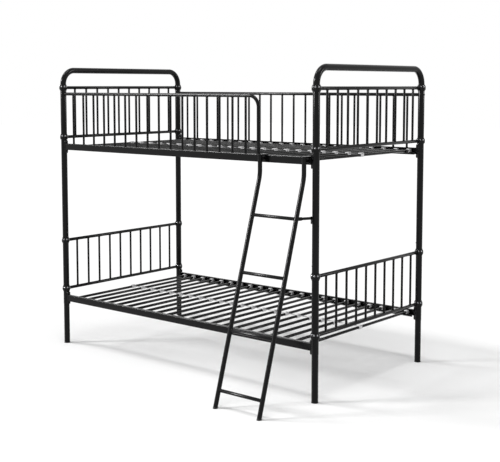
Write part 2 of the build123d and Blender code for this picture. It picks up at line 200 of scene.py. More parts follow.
def greyNylon():
    material, wire, coords = startMaterial("greyNylon")
    grain = noise(wire, coords, nylon["grainScale"])
    patch = noise(wire, coords, nylon["patchScale"], 3.0)
    tone = patch * (1 - nylon["grainShare"]) + grain * nylon["grainShare"]
    gloss = nylon["gloss"] + nylon["patchGloss"] * (patch - 0.5)
    sockets = {
        "Base Color": colourMix(wire, tone, nylon["dark"], nylon["light"]),
        "Roughness": gloss + nylon["grainGloss"] * (grain - 0.5),
        "Specular IOR Level": nylon["specular"],
    }
    surface(wire, sockets, grain, nylon["bump"], nylon["bumpDepth"])
    return material


plastic = {
    "dark": (0.004, 0.004, 0.004),
    "light": (0.009, 0.009, 0.009),
    "gloss": 0.45,
    "glossSpread": 0.2,
    "specular": 0.2,
    "grainScale": 1900.0,
    "patchScale": 40.0,
    "bump": 0.25,
    "bumpDepth": 0.3 * mm,
}


def blackPlastic():
    material, wire, coords = startMaterial("blackPlastic")
    grain = noise(wire, coords, plastic["grainScale"], 3.0)
    patch = noise(wire, coords, plastic["patchScale"])
    sockets = {
        "Base Color": colourMix(wire, patch, plastic["dark"], plastic["light"]),
        "Roughness": plastic["gloss"] + plastic["glossSpread"] * (grain - 0.5),
        "Specular IOR Level": plastic["specular"],
    }
    surface(wire, sockets, grain, plastic["bump"], plastic["bumpDepth"])
    return material


weave = {
    # dark is painted shade in the hollows of the weave, light is the thread tops
    "dark": (0.15, 0.15, 0.155),
    "light": (0.34, 0.34, 0.345),
    "warp": 1.4 * mm,  # thread to thread across the strap
    "weft": 1.1 * mm,
    "fuzzScale": 2400.0,
    "fuzzShare": 0.3,
    "gloss": 0.82,
    "glossSpread": 0.1,
    "specular": 0.2,
    "bump": 0.5,
    "bumpDepth": 0.4 * mm,
}


def greyWebbing():
    material, wire, coords = startMaterial("greyWebbing")
    along = wire.node("ShaderNodeSeparateXYZ", {}, {"Vector": coords}, "X")
    across = wire.node("ShaderNodeSeparateXYZ", {}, {"Vector": coords}, "Y")
    warp = wire.maths("SINE", across * (2 * pi / weave["warp"]))
    weft = wire.maths("SINE", along * (2 * pi / weave["weft"]))
    fuzz = noise(wire, coords, weave["fuzzScale"])
    threads = wire.maths("ABSOLUTE", warp * weft)
    height = threads * (1 - weave["fuzzShare"]) + fuzz * weave["fuzzShare"]
    sockets = {
        # base colour darker in the hollows between threads and lighter on thread tops: painted shade
        "Base Color": colourMix(wire, height, weave["dark"], weave["light"]),
        "Roughness": weave["gloss"] + weave["glossSpread"] * (fuzz - 0.5),
        "Specular IOR Level": weave["specular"],
    }
    surface(wire, sockets, height, weave["bump"], weave["bumpDepth"])
    return material


finishes = {
    "black_powder_coat": powderCoat("blackPowderCoat"),
    "black_fastener": blackFixing(),
    "grey_plastic": greyNylon(),
    "black_plastic": blackPlastic(),
    "grey_webbing": greyWebbing(),
}
# coat with painted glints on the collars' upper petals
glintedCastCoat = powderCoat("glintedCastCoat", True)
print("materials ready:", ", ".join(finishes))


# Shared mesh steps
scratch = bpy.data.meshes.new("scratch")
shaping = {
    "along": 0.9,  # cosine above which an edge runs along a direction
    "sharp": 0.9,  # radians between the faces of a sharp edge
    "lip": 0.6 * mm,
    "lipSteps": 2,
    "cornerSteps": 5,
    "beadSides": 8,
    "beadRounds": 20,
    "wideBeadRounds": 28,
    "weldDistance": 0.002 * mm,
    "smoothBelow": 38.0,  # degrees between faces
}


def join(bm, part):
    part.to_mesh(scratch)
    part.free()
    bm.from_mesh(scratch)


def turnTo(direction):
    return Vector(direction).to_track_quat("Z", "Y").to_matrix().to_4x4()


def vertsIn(geom):
    return [g for g in geom if isinstance(g, bmesh.types.BMVert)]


def edgesIn(geom):
    return [g for g in geom if isinstance(g, bmesh.types.BMEdge)]


def edgesOf(verts):
    return list(dict.fromkeys(edge for vert in verts for edge in vert.link_edges))


def runsAlong(edge, direction):
    line = (edge.verts[1].co - edge.verts[0].co).normalized()
    return abs(line.dot(direction)) > shaping["along"]


def sharpEdges(bm):
    return [e for e in bm.edges if e.calc_face_angle(0) > shaping["sharp"]]


def bevelEdges(bm, edges, width, steps=shaping["lipSteps"]):
    bmesh.ops.bevel(
        bm,
        geom=edges,
        offset=width,
        offset_type="OFFSET",
        affect="EDGES",
        segments=steps,
        profile=0.5,
        material=-1,
    )


def drawOut(bm, ring, step):
    made = bmesh.ops.extrude_edge_only(bm, edges=ring)["geom"]
    moved = set(vertsIn(made))
    bmesh.ops.translate(bm, verts=list(moved), vec=step)
    return [e for e in edgesIn(made) if moved.issuperset(e.verts)]


def thicken(bm, outline, step):
    verts = [bm.verts.new(point) for point in outline]
    made = bmesh.ops.extrude_face_region(bm, geom=[bm.faces.new(verts)], use_keep_orig=True)["geom"]
    bmesh.ops.translate(bm, verts=vertsIn(made), vec=step)
    direction = Vector(step).normalized()
    return [e for v in verts for e in v.link_edges if runsAlong(e, direction)]


def straightTube(bm, start, end, radius, rounds, lip=shaping["lip"]):
    start, end = Vector(start), Vector(end)
    part = bmesh.new()
    place = Matrix.Translation((start + end) / 2) @ turnTo(end - start)
    bmesh.ops.create_cone(
        part,
        cap_ends=True,
        segments=rounds,
        radius1=radius,
        radius2=radius,
        depth=(end - start).length,
        matrix=place,
    )
    rims = [e for e in part.edges if any(len(f.verts) > 4 for f in e.link_faces)]
    bevelEdges(part, rims, lip)
    join(bm, part)


def turned(bm, geom, centre, axis, angle, steps, closed=False):
    return bmesh.ops.spin(
        bm,
        geom=geom,
        cent=centre,
        axis=axis,
        dvec=(0, 0, 0),
        angle=angle,
        steps=steps,
        use_merge=closed,
    )


def bentTube(bm, points, radius, bend, rounds, bendSteps):
    points = [Vector(p) for p in points]
    here = points[0]
    heading = (points[1] - here).normalized()
    place = Matrix.Translation(here) @ turnTo(heading)
    made = bmesh.ops.create_circle(bm, cap_ends=True, segments=rounds, radius=radius, matrix=place)
    ring = edgesOf(made["verts"])
    for corner, following in zip(points[1:], points[2:] + [None]):
        nextHeading = (following - corner).normalized() if following else heading
        turn = heading.angle(nextHeading)
        setback = bend * tan(turn / 2)
        stop = corner - heading * setback
        ring = drawOut(bm, ring, stop - here)
        if following:
            axis = heading.cross(nextHeading).normalized()
            centre = stop + axis.cross(heading) * bend
            ring = edgesIn(turned(bm, ring, centre, axis, turn, bendSteps)["geom_last"])
            here = corner + nextHeading * setback
            heading = nextHeading
    bmesh.ops.contextual_create(bm, geom=ring)


def bead(bm, centre, axis, radius, size, rounds=shaping["beadRounds"]):
    axis = Vector(axis).normalized()
    aside = axis.orthogonal().normalized()
    part = bmesh.new()
    place = Matrix.Translation(Vector(centre) + aside * radius) @ turnTo(axis.cross(aside))
    bmesh.ops.create_circle(part, cap_ends=False, segments=shaping["beadSides"], radius=size, matrix=place)
    turned(part, part.edges[:], centre, axis, 2 * pi, rounds, True)
    join(bm, part)


def lathe(bm, profile, place, rounds):
    part = bmesh.new()
    verts = [part.verts.new(place @ Vector((r, 0, z))) for r, z in profile]
    edges = [part.edges.new(pair) for pair in zip(verts, verts[1:])]
    axis = place.to_3x3() @ Vector((0, 0, 1))
    turned(part, verts + edges, place.to_translation(), axis, 2 * pi, rounds, True)
    join(bm, part)


def block(bm, low, high, edge, steps=shaping["lipSteps"], along=None, corner=0.0):
    low, high = Vector(low), Vector(high)
    part = bmesh.new()
    size = Matrix.Diagonal((*(high - low), 1))
    bmesh.ops.create_cube(part, size=1, matrix=Matrix.Translation((low + high) / 2) @ size)
    if along is not None:  # the edges along one axis are rounder
        direction = Vector([float(i == along) for i in range(3)])
        bevelEdges(part, [e for e in part.edges if runsAlong(e, direction)], corner, shaping["cornerSteps"])
    bevelEdges(part, sharpEdges(part), edge, steps)
    join(bm, part)


def finishPiece(name, bm, slot, body, nodes, smoothBelow=shaping["smoothBelow"]):
    bmesh.ops.remove_doubles(bm, verts=bm.verts, dist=shaping["weldDistance"])
    bmesh.ops.recalc_face_normals(bm, faces=bm.faces)
    mesh = bpy.data.meshes.new(name)
    bm.to_mesh(mesh)
    bm.free()
    mesh.shade_smooth()
    mesh.set_sharp_from_angle(angle=radians(smoothBelow))
    piece = bpy.data.objects.new(name, mesh)
    bpy.context.scene.collection.objects.link(piece)
    mesh.materials.append(finishes[slot])
    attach(piece, body)
    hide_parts(*nodes)
    return piece


def spots(node, axis, count, size):
    low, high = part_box(node)
    first, last = low[axis] + size / 2, high[axis] - size / 2
    return [first + (last - first) * i / (count - 1) for i in range(count)]


def middle(node):
    low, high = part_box(node)
    return (low + high) / 2


def axisOf(side):
    return middle(f"upper_post_{side}")


for node, item in frame["nodes"].items():  # hidden fittings keep their own shape
    slot = next(s["material_slot"] for s in frame["record"]["subparts"] if s["node"] == node)
    item.data.materials.clear()
    item.data.materials.append(finishes[slot])


# Legs and posts
post = {"rounds": 56, "lip": 0.7 * mm}


def makePosts():
    for side in corners:
        for part in ("leg", "lower_post", "upper_post"):
            node = f"{part}_{side}"
            low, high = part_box(node)
            centre = (low + high) / 2
            bm = bmesh.new()
            start, end = (centre.x, centre.y, low.z), (centre.x, centre.y, high.z)
            straightTube(bm, start, end, (high.x - low.x) / 2, post["rounds"], post["lip"])
            finishPiece(f"{node}_tube", bm, "black_powder_coat", "bed", [node])


glide = {
    "height": 5.0 * mm,
    "round": 1.4 * mm,
    "waist": 0.8 * mm,
    "plug": 12.0 * mm,
    "plugInset": 3 * mm,
    "shoulder": 0.2 * mm,
    "rounds": 48,
}


def makeGlides():
    bm = bmesh.new()
    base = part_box("foot_glides")[0].z
    low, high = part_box("upper_post_front_left")
    outer = (high.x - low.x) / 2
    g = glide
    plug = outer - g["plugInset"]
    profile = [
        (0, 0),
        (outer - g["round"], 0),
        (outer - 0.3 * g["round"], 0.3 * g["round"]),
        (outer, g["round"]),
        (outer, g["height"] - g["round"]),
        (outer - g["waist"], g["height"]),
        (plug, g["height"] + g["shoulder"]),
        (plug, g["height"] + g["plug"]),
        (0, g["height"] + g["plug"]),
    ]
    for side in corners:
        centre = axisOf(side)
        lathe(bm, profile, Matrix.Translation((centre.x, centre.y, base)), g["rounds"])
    finishPiece("foot_glide_set", bm, "black_plastic", "bed", ["foot_glides"])


arch = {"bend": 85 * mm, "rounds": 56, "bendSteps": 40}


def makeArches():
    for end in ends:
        node = f"arch_{end}"
        low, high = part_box(node)
        radius = (high.x - low.x) / 2
        x = (low.x + high.x) / 2
        front, back, top = low.y + radius, high.y - radius, high.z - radius
        bm = bmesh.new()
        points = [(x, front, low.z), (x, front, top), (x, back, top), (x, back, low.z)]
        bentTube(bm, points, radius, arch["bend"], arch["rounds"], arch["bendSteps"])
        finishPiece(f"{node}_tube", bm, "black_powder_coat", "bed", [node])
    print("posts, glides and arches done")


# Cast collars: a belt with a crown of pointed petals above and below it
petal = {
    "count": 8,
    "base": 4.5 * mm,
    "tip": 13.5 * mm,
    "soft": 2.2 * mm,
    "lean": 1.6 * mm,  # petal tips stand this far inside the belt
    "glintFrom": 2.0 * mm,  # painted glints on the hearts of the upper petals start above this
    "heartFrom": 0.45,
    "heartSoft": 0.3,
    "rounds": 128,
    "rows": 28,
}
collar = {
    "half": 18 * mm,
    "rim": 1.7 * mm,
    "lip": 2.6 * mm,
    "lipStep": 0.7 * mm,
    "lipChamfer": 0.6 * mm,
    "bite": 1.5 * mm,  # into the post, so no gap shows
    "cone": 2.2 * mm,  # depth of the ground between petals at the belt
    "coneCurve": 0.8,
    "smoothBelow": 60.0,
}


def clamp(value):
    return min(max(value, 0), 1)


def collarRadius(z, angle, belt, neck):
    height = abs(z)
    turn = petal["count"] * angle / (2 * pi) % 1
    tip = petal["base"] + (petal["tip"] - petal["base"]) * (1 - abs(2 * turn - 1))
    share = clamp((tip - height) / petal["soft"])
    share = share * share * (3 - 2 * share)
    fall = min(height / collar["half"], 1)
    ground = belt - collar["cone"]
    cone = ground - (ground - neck) * fall ** collar["coneCurve"]
    # the painted glint covers the middle of each upper petal, above the belt only
    heart = clamp((1 - abs(2 * turn - 1) - petal["heartFrom"]) / petal["heartSoft"])
    paintedGlint = share * heart * clamp((z - petal["glintFrom"]) / petal["soft"])
    return cone + (belt - petal["lean"] * fall - cone) * share, paintedGlint


def makeCollars():
    for level in levels:
        node = f"{level}_collars"
        low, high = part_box(node)
        centre = axisOf("back_right")
        belt = high.x - centre.x
        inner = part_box("upper_post_back_right")[1].x - centre.x
        half = collar["half"]
        neck = inner + collar["rim"]
        edge = half - collar["lip"]
        wall = [(belt, edge * (2 * i / petal["rows"] - 1)) for i in range(petal["rows"] + 1)]
        brim = neck + collar["lipStep"]
        lip = [
            (brim, edge + collar["lipStep"]),
            (brim, half - collar["lipChamfer"]),
            (neck, half),
            (inner - collar["bite"], half),
        ]
        profile = [(r, -z) for r, z in reversed(lip)] + wall + lip
        bm = bmesh.new()
        for z in (low.z + half, high.z - half):
            for side in corners:
                spot = axisOf(side)
                part = bmesh.new()
                lathe(part, profile, Matrix.Translation((spot.x, spot.y, z)), petal["rounds"])
                # per-vertex share of the painted glint
                paintedGlint = part.verts.layers.float.new("paintedGlint")
                for vert in part.verts:
                    rise = vert.co.z - z
                    if abs(rise) < edge + 0.01 * mm:  # the wall, not the lips
                        angle = atan2(vert.co.y - spot.y, vert.co.x - spot.x)
                        radius, vert[paintedGlint] = collarRadius(rise, angle, belt, neck)
                        vert.co.x = spot.x + radius * cos(angle)
                        vert.co.y = spot.y + radius * sin(angle)
                join(bm, part)
        name = f"{level}_collar_set"
        piece = finishPiece(name, bm, "black_powder_coat", "bed", [node], collar["smoothBelow"])
        # the collars take the coat with painted glints
        piece.data.materials[0] = glintedCastCoat
    print("collars done")


# End panels
panel = {
    "spindles": 10,
    "rounds": 32,
    "spindleRounds": 24,
    "beadSize": 1.5 * mm,
    "beadSink": 0.4 * mm,  # into the rail
    "endBead": 1.8 * mm,
    "endInset": 6.5 * mm,
}


def makePanels():
    for level in levels:
        for where in ends:
            heights = []
            for place in ("bottom", "top"):
                node = f"{level}_{where}_{place}_rail"
                low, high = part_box(node)
                radius = (high.x - low.x) / 2
                centre = (low + high) / 2
                heights.append(centre.z)
                bm = bmesh.new()
                start, end = (centre.x, low.y, centre.z), (centre.x, high.y, centre.z)
                straightTube(bm, start, end, radius, panel["rounds"])
                for inward, y in ((1, low.y), (-1, high.y)):
                    spot = (centre.x, y + inward * panel["endInset"], centre.z)
                    bead(bm, spot, (0, 1, 0), radius, panel["endBead"], shaping["wideBeadRounds"])
                finishPiece(f"{node}_tube", bm, "black_powder_coat", "bed", [node])
            node = f"{level}_{where}_spindles"
            low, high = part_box(node)
            size = high.x - low.x
            x = (low.x + high.x) / 2
            bm = bmesh.new()
            for y in spots(node, 1, panel["spindles"], size):
                straightTube(bm, (x, y, low.z), (x, y, high.z), size / 2, panel["spindleRounds"])
                for z in (heights[0] + radius - panel["beadSink"], heights[1] - radius + panel["beadSink"]):
                    bead(bm, (x, y, z), (0, 0, 1), size / 2, panel["beadSize"])
            finishPiece(f"{node}_row", bm, "black_powder_coat", "bed", [node])
    print("end panels done")


# Guards
guard = {
    "bend": 62 * mm,
    "bendSteps": 32,
    "frontSpindles": 16,
    "backSpindles": 20,
    "rounds": 32,
    "spindleRounds": 24,
    "beadSize": 1.5 * mm,
    "beadSink": 0.4 * mm,  # into the tube
    "beadRise": 0.3 * mm,  # above the side rail's flange
    "footBead": 1.6 * mm,
    "footRise": 0.5 * mm,
    "endBead": 1.7 * mm,
    "endInset": 2.2 * mm,
}


def makeGuards():
    rounds = shaping["wideBeadRounds"]
    for side in sides:
        node = f"{side}_guard_tube"
        low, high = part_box(node)
        radius = (high.y - low.y) / 2
        y = (low.y + high.y) / 2
        top = high.z - radius
        bm = bmesh.new()
        if side == "front":
            dropX = high.x - radius
            points = [(low.x, y, top), (dropX, y, top), (dropX, y, low.z)]
            bentTube(bm, points, radius, guard["bend"], guard["rounds"], guard["bendSteps"])
            spot = (dropX, y, low.z + guard["footRise"])
            bead(bm, spot, (0, 0, 1), radius, guard["footBead"], rounds)
        else:
            straightTube(bm, (low.x, y, top), (high.x, y, top), radius, guard["rounds"])
            spot = (high.x - guard["endInset"], y, top)
            bead(bm, spot, (1, 0, 0), radius, guard["endBead"], rounds)
        spot = (low.x + guard["endInset"], y, top)
        bead(bm, spot, (1, 0, 0), radius, guard["endBead"], rounds)
        finishPiece(f"{side}_guard_rail", bm, "black_powder_coat", "bed", [node])
        node = f"{side}_guard_spindles"
        low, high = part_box(node)
        size = high.y - low.y
        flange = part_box(f"upper_{side}_side_rail")[1].z
        bm = bmesh.new()
        for x in spots(node, 0, guard[f"{side}Spindles"], size):
            straightTube(bm, (x, y, low.z), (x, y, high.z), size / 2, guard["spindleRounds"])
            for z in (flange + guard["beadRise"], top - radius + guard["beadSink"]):
                bead(bm, (x, y, z), (0, 0, 1), size / 2, guard["beadSize"])
        finishPiece(f"{side}_guard_row", bm, "black_powder_coat", "bed", [node])
    print("guards done")


# Side rails and their end saddles
rail = {
    "gauge": 2.0 * mm,
    "flange": 19 * mm,
    "reach": 36 * mm,
    "shelf": 12 * mm,
    "bend": 3.0 * mm,
    "bendSteps": 6,
    "edge": 0.5 * mm,
    "bentCorners": (1, 6),  # places in the section's outline
    "freeCorners": (0, 2, 3, 7, 8, 11),
    "smoothBelow": 30.0,
}
seam = {"radius": 1.5 * mm, "inset": 3 * mm, "rounds": 12}


def railSection(height):
    g, shelf = rail["gauge"], rail["shelf"]
    flange, reach = rail["flange"], rail["reach"]
    return [
        (0, 0),
        (0, height),
        (flange, height),
        (flange, height - g),
        (g, height - g),
        (g, shelf),
        (reach, shelf),
        (reach, 0),
        (reach - g, 0),
        (reach - g, shelf - g),
        (g, shelf - g),
        (g, 0),
    ]


def makeSideRails():
    for level in levels:
        for side, sign in sides.items():
            node = f"{level}_{side}_side_rail"
            low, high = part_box(node)
            outer = high.y if sign > 0 else low.y
            outline = [(low.x, outer - sign * w, low.z + z) for w, z in railSection(high.z - low.z)]
            bm = bmesh.new()
            lengthwise = thicken(bm, outline, (high.x - low.x, 0, 0))
            bends = [lengthwise[i] for i in rail["bentCorners"]]
            free = [lengthwise[i] for i in rail["freeCorners"]]
            bevelEdges(bm, bends, rail["bend"], rail["bendSteps"])
            bevelEdges(bm, [e for e in free if e.is_valid], rail["edge"])
            for x in (low.x, high.x):  # weld to the saddle
                start, end = (x, outer, low.z + seam["inset"]), (x, outer, high.z - seam["inset"])
                straightTube(bm, start, end, seam["radius"], seam["rounds"])
                near, far = sorted((outer - sign * seam["inset"], outer - sign * rail["flange"]))
                straightTube(bm, (x, near, high.z), (x, far, high.z), seam["radius"], seam["rounds"])
            name = f"{node}_section"
            finishPiece(name, bm, "black_powder_coat", "bed", [node], rail["smoothBelow"])
    print("side rails done")


saddle = {
    "width": 21 * mm,
    "height": 78 * mm,
    "corner": 5 * mm,
    "face": 1.6 * mm,
    "faceSteps": 3,
    "sink": 8 * mm,
    "bolt": 29.5 * mm,  # from the middle to each bolt
}


def makeSaddles():
    bm = bmesh.new()
    for level in levels:
        low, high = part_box(f"{level}_front_side_rail")
        z = (low.z + high.z) / 2
        for side, sign in corners.items():
            centre = axisOf(side)
            face = high.x if sign > 0 else low.x
            xs = sorted((face, centre.x - sign * saddle["sink"]))
            block(
                bm,
                (xs[0], centre.y - saddle["width"] / 2, z - saddle["height"] / 2),
                (xs[1], centre.y + saddle["width"] / 2, z + saddle["height"] / 2),
                saddle["face"],
                saddle["faceSteps"],
                along=0,
                corner=saddle["corner"],
            )
    finishPiece("rail_saddle_set", bm, "black_powder_coat", "bed", ["rail_saddles"])


bolt = {
    "head": 5.5 * mm,
    "height": 3.3 * mm,
    "crown": 1.9 * mm,
    "socket": 2.2 * mm,
    "depth": 1.8 * mm,
    "shank": 3 * mm,
    "chamfer": 0.3 * mm,
    "chamferDepth": 0.2 * mm,
    "domeSteps": 5,
    "rounds": 36,
    "saddleLength": 14 * mm,
    "couplingLength": 8 * mm,
    "couplingDrop": 30 * mm,
    "guardLength": 40 * mm,
    "flangeLength": 12 * mm,
}


def addBolt(bm, seat, outward, shank, head=bolt["head"], height=bolt["height"]):
    socket, floor = bolt["socket"], height - bolt["depth"]
    rim = socket + bolt["chamfer"]
    profile = [(0, floor), (socket, floor), (socket, height - bolt["chamferDepth"]), (rim, height)]
    for i in range(1, bolt["domeSteps"] + 1):  # domed button head
        turn = i / bolt["domeSteps"] * pi / 2
        profile.append((rim + (head - rim) * sin(turn), height - bolt["crown"] * (1 - cos(turn))))
    profile += [(head, 0), (bolt["shank"], 0), (bolt["shank"], -shank), (0, -shank)]
    lathe(bm, profile, Matrix.Translation(seat) @ turnTo(outward), bolt["rounds"])


def makeBolts():
    bm = bmesh.new()
    for level in levels:
        low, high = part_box(f"{level}_front_side_rail")
        z = (low.z + high.z) / 2
        for side, sign in corners.items():
            face = high.x if sign > 0 else low.x
            for step in (-1, 1):
                seat = (face, axisOf(side).y, z + step * saddle["bolt"])
                addBolt(bm, seat, (-sign, 0, 0), bolt["saddleLength"])
    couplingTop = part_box("post_couplings")[1].z
    for side, sign in corners.items():
        low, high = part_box(f"upper_post_{side}")
        seat = (low.x if sign > 0 else high.x, axisOf(side).y, couplingTop - bolt["couplingDrop"])
        addBolt(bm, seat, (-sign, 0, 0), bolt["couplingLength"])
    finishPiece("frame_bolt_set", bm, "black_fastener", "bed", ["frame_bolts"])
    bm = bmesh.new()
    guardLow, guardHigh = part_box("front_guard_tube")
    backLow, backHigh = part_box("back_guard_tube")
    z = (backLow.z + backHigh.z) / 2
    reach = bolt["guardLength"]
    frontY, backY = (guardLow.y + guardHigh.y) / 2, (backLow.y + backHigh.y) / 2
    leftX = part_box("upper_post_front_left")[0].x
    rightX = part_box("upper_post_back_right")[1].x
    addBolt(bm, (leftX, frontY, z), (-1, 0, 0), reach)
    addBolt(bm, (leftX, backY, z), (-1, 0, 0), reach)
    addBolt(bm, (rightX, backY, z), (1, 0, 0), reach)
    dropX = guardHigh.x - (guardHigh.y - guardLow.y) / 2
    addBolt(bm, (dropX, frontY, guardLow.z - rail["gauge"]), (0, 0, -1), bolt["flangeLength"])
    finishPiece("guard_bolt_set", bm, "black_fastener", "bed", ["guard_bolts"])
    print("saddles and bolts done")


# Slats with caps, clips and the spacing strap
slat = {"count": 22, "rounds": 24}
cap = {
    "length": 28 * mm,
    "corner": 3 * mm,
    "edge": 1.3 * mm,
    "peg": 6 * mm,
    "pegRadius": 3 * mm,
    "pegRounds": 16,
    "pegLip": 0.8 * mm,
    "overlap": 1 * mm,  # of the peg and the cap
    "mouthBead": 0.9 * mm,
    "mouthInset": 0.4 * mm,
    "mouthGap": 0.5 * mm,
    "mouthRounds": 24,
}
clip = {
    "corner": 4.5 * mm,
    "edge": 1.0 * mm,
    "mouthBead": 0.8 * mm,
    "mouthInset": 0.4 * mm,
    "mouthGap": 0.4 * mm,
    "mouthRounds": 24,
}
strap = {
    "thickness": 1.2 * mm,
    "width": 14 * mm,
    "flat": 9 * mm,  # straight on each side of a slat
    "sag": 4 * mm,
    "steps": 10,
    "tail": 14 * mm,
}


def makeSlats():
    for level in levels:
        node = f"{level}_slats"
        low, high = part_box(node)
        size = high.z - low.z
        z = (low.z + high.z) / 2
        places = spots(node, 0, slat["count"], size)
        bm = bmesh.new()
        for x in places:
            straightTube(bm, (x, low.y, z), (x, high.y, z), size / 2, slat["rounds"])
        finishPiece(f"{level}_slat_row", bm, "black_powder_coat", "bed", [node])
        makeCaps(level, places, z, size / 2)
        makeClips(level, places, z, size / 2)
        makeStrap(level, places)
    print("slats, caps, clips and straps done")


def makeCaps(level, places, z, radius):
    node = f"{level}_slat_caps"
    low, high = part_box(node)
    shelf = low.z + cap["peg"]
    half = places[0] - low.x
    bm = bmesh.new()
    for x in places:
        for y, inward in ((low.y + cap["length"] / 2, 1), (high.y - cap["length"] / 2, -1)):
            block(
                bm,
                (x - half, y - cap["length"] / 2, shelf),
                (x + half, y + cap["length"] / 2, high.z),
                cap["edge"],
                along=2,
                corner=cap["corner"],
            )
            mouth = (x, y + inward * (cap["length"] / 2 - cap["mouthInset"]), z)
            bead(bm, mouth, (0, 1, 0), radius + cap["mouthGap"], cap["mouthBead"], cap["mouthRounds"])
            pegTop = (x, y, shelf + cap["overlap"])
            straightTube(bm, (x, y, low.z), pegTop, cap["pegRadius"], cap["pegRounds"], cap["pegLip"])
    finishPiece(f"{level}_cap_set", bm, "grey_plastic", "bed", [node])


def makeClips(level, places, z, radius):
    node = f"{level}_slat_clips"
    low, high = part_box(node)
    half = places[0] - low.x
    bm = bmesh.new()
    for x in places:
        start, end = (x - half, low.y, low.z), (x + half, high.y, high.z)
        block(bm, start, end, clip["edge"], along=1, corner=clip["corner"])
        for y, inward in ((low.y, 1), (high.y, -1)):
            mouth = (x, y + inward * clip["mouthInset"], z)
            bead(bm, mouth, (0, 1, 0), radius + clip["mouthGap"], clip["mouthBead"], clip["mouthRounds"])
    finishPiece(f"{level}_clip_set", bm, "grey_plastic", "bed", [node])


def makeStrap(level, places):
    node = f"{level}_slat_strap"
    low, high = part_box(node)
    y = (low.y + high.y) / 2
    stations = [(places[0] - strap["tail"], 0)]
    for x, following in zip(places, places[1:]):
        start, end = x + strap["flat"], following - strap["flat"]
        for i in range(strap["steps"] + 1):
            share = i / strap["steps"]
            stations.append((start + (end - start) * share, strap["sag"] * 4 * share * (1 - share)))
    stations.append((places[-1] + strap["tail"], 0))
    bm = bmesh.new()
    x, drop = stations[0]
    half = strap["width"] / 2
    base = high.z - strap["thickness"]
    section = [(-half, 0), (half, 0), (half, 1), (-half, 1)]
    verts = [bm.verts.new((x, y + w, base + up * strap["thickness"] - drop)) for w, up in section]
    ring = [bm.edges.new((verts[i], verts[(i + 1) % 4])) for i in range(4)]
    bm.faces.new(verts)
    here = (x, drop)
    for x, drop in stations[1:]:
        ring = drawOut(bm, ring, (x - here[0], 0, here[1] - drop))
        here = (x, drop)
    bmesh.ops.contextual_create(bm, geom=ring)
    piece = finishPiece(f"{level}_webbing", bm, "grey_webbing", "bed", [node])
    length = sum(hypot(b[0] - a[0], b[1] - a[1]) for a, b in zip(stations, stations[1:]))


# Ladder
ladder = {
    "lean": 353 * mm,
    "bendDrop": 64 * mm,
    "bend": 180 * mm,
    "bendSteps": 20,
    "rounds": 36,
    "startRise": 3 * mm,  # from the slanted tube's lowest edge to the middle of its end
    "rungs": 4,
    "rungRadius": 9 * mm,
    "rungRounds": 32,
    "rungBead": 1.9 * mm,
    "rungSink": 0.6 * mm,
}


def ladderLine():
    low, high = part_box("ladder_stile_left")
    radius = (high.x - low.x) / 2
    topY = high.y - radius
    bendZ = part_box("upper_front_side_rail")[0].z - ladder["bendDrop"]
    return radius, topY, bendZ


def stileY(z):
    topY, bendZ = ladderLine()[1:]
    return topY - ladder["lean"] * (1 - z / bendZ)


def makeLadder():
    radius, topY, bendZ = ladderLine()
    xs = {}
    for name in ends:
        node = f"ladder_stile_{name}"
        low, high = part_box(node)
        x = (low.x + high.x) / 2
        xs[name] = x
        bm = bmesh.new()
        start = low.z + ladder["startRise"]
        points = [(x, stileY(start), start), (x, topY, bendZ), (x, topY, high.z)]
        bentTube(bm, points, radius, ladder["bend"], ladder["rounds"], ladder["bendSteps"])
        finishPiece(f"{node}_tube", bm, "black_powder_coat", "ladder", [node])
    rungRadius = ladder["rungRadius"]
    bm = bmesh.new()
    for z in spots("ladder_rungs", 2, ladder["rungs"], 2 * rungRadius):
        y = stileY(z)
        straightTube(bm, (xs["left"], y, z), (xs["right"], y, z), rungRadius, ladder["rungRounds"])
        for name, step in (("left", 1), ("right", -1)):
            spot = (xs[name] + step * (radius - ladder["rungSink"]), y, z)
            bead(bm, spot, (1, 0, 0), rungRadius, ladder["rungBead"], shaping["wideBeadRounds"])
    finishPiece("ladder_rung_set", bm, "black_powder_coat", "ladder", ["ladder_rungs"])
    makeHooks(xs, radius, topY)
    makeFeet(xs)
    makeBrace(xs["right"])
    print("ladder done")


hook = {
    "width": 32 * mm,
    "thickness": 4 * mm,
    "bend": 3.5 * mm,
    "bendSteps": 5,
    "bentCorner": 4,  # place in the section's outline
    "edge": 0.6 * mm,
    "bead": 1.8 * mm,
    "beadSink": 0.5 * mm,
}
pad = {"rounds": 32, "lip": 1.5 * mm}


def makeHooks(xs, radius, topY):
    low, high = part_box("ladder_hooks")
    t = hook["thickness"]
    bm = bmesh.new()
    for x in xs.values():
        section = [(low.y, high.z - t), (high.y - t, high.z - t), (high.y - t, low.z)]
        section += [(high.y, low.z), (high.y, high.z), (low.y, high.z)]
        outline = [(x - hook["width"] / 2, y, z) for y, z in section]
        part = bmesh.new()
        across = thicken(part, outline, (hook["width"], 0, 0))
        bevelEdges(part, [across[hook["bentCorner"]]], hook["bend"], hook["bendSteps"])
        bevelEdges(part, sharpEdges(part), hook["edge"])
        join(bm, part)
        spot = (x, topY, high.z - t - hook["beadSink"])
        bead(bm, spot, (0, 0, 1), radius, hook["bead"], shaping["wideBeadRounds"])
    finishPiece("ladder_hook_set", bm, "black_powder_coat", "ladder", ["ladder_hooks"])
    low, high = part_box("ladder_pads")
    z = (low.z + high.z) / 2
    bm = bmesh.new()
    for x in xs.values():
        straightTube(bm, (x, topY, z), (x, high.y, z), (high.z - low.z) / 2, pad["rounds"], pad["lip"])
    finishPiece("ladder_pad_set", bm, "black_plastic", "ladder", ["ladder_pads"])


foot = {
    "soleRadius": 12.5 * mm,
    "soleHeight": 7 * mm,
    "soleRounds": 40,
    "plugRadius": 10.4 * mm,
    "plugHeight": 32 * mm,
    "plugRounds": 32,
    "plugLip": 1 * mm,
}


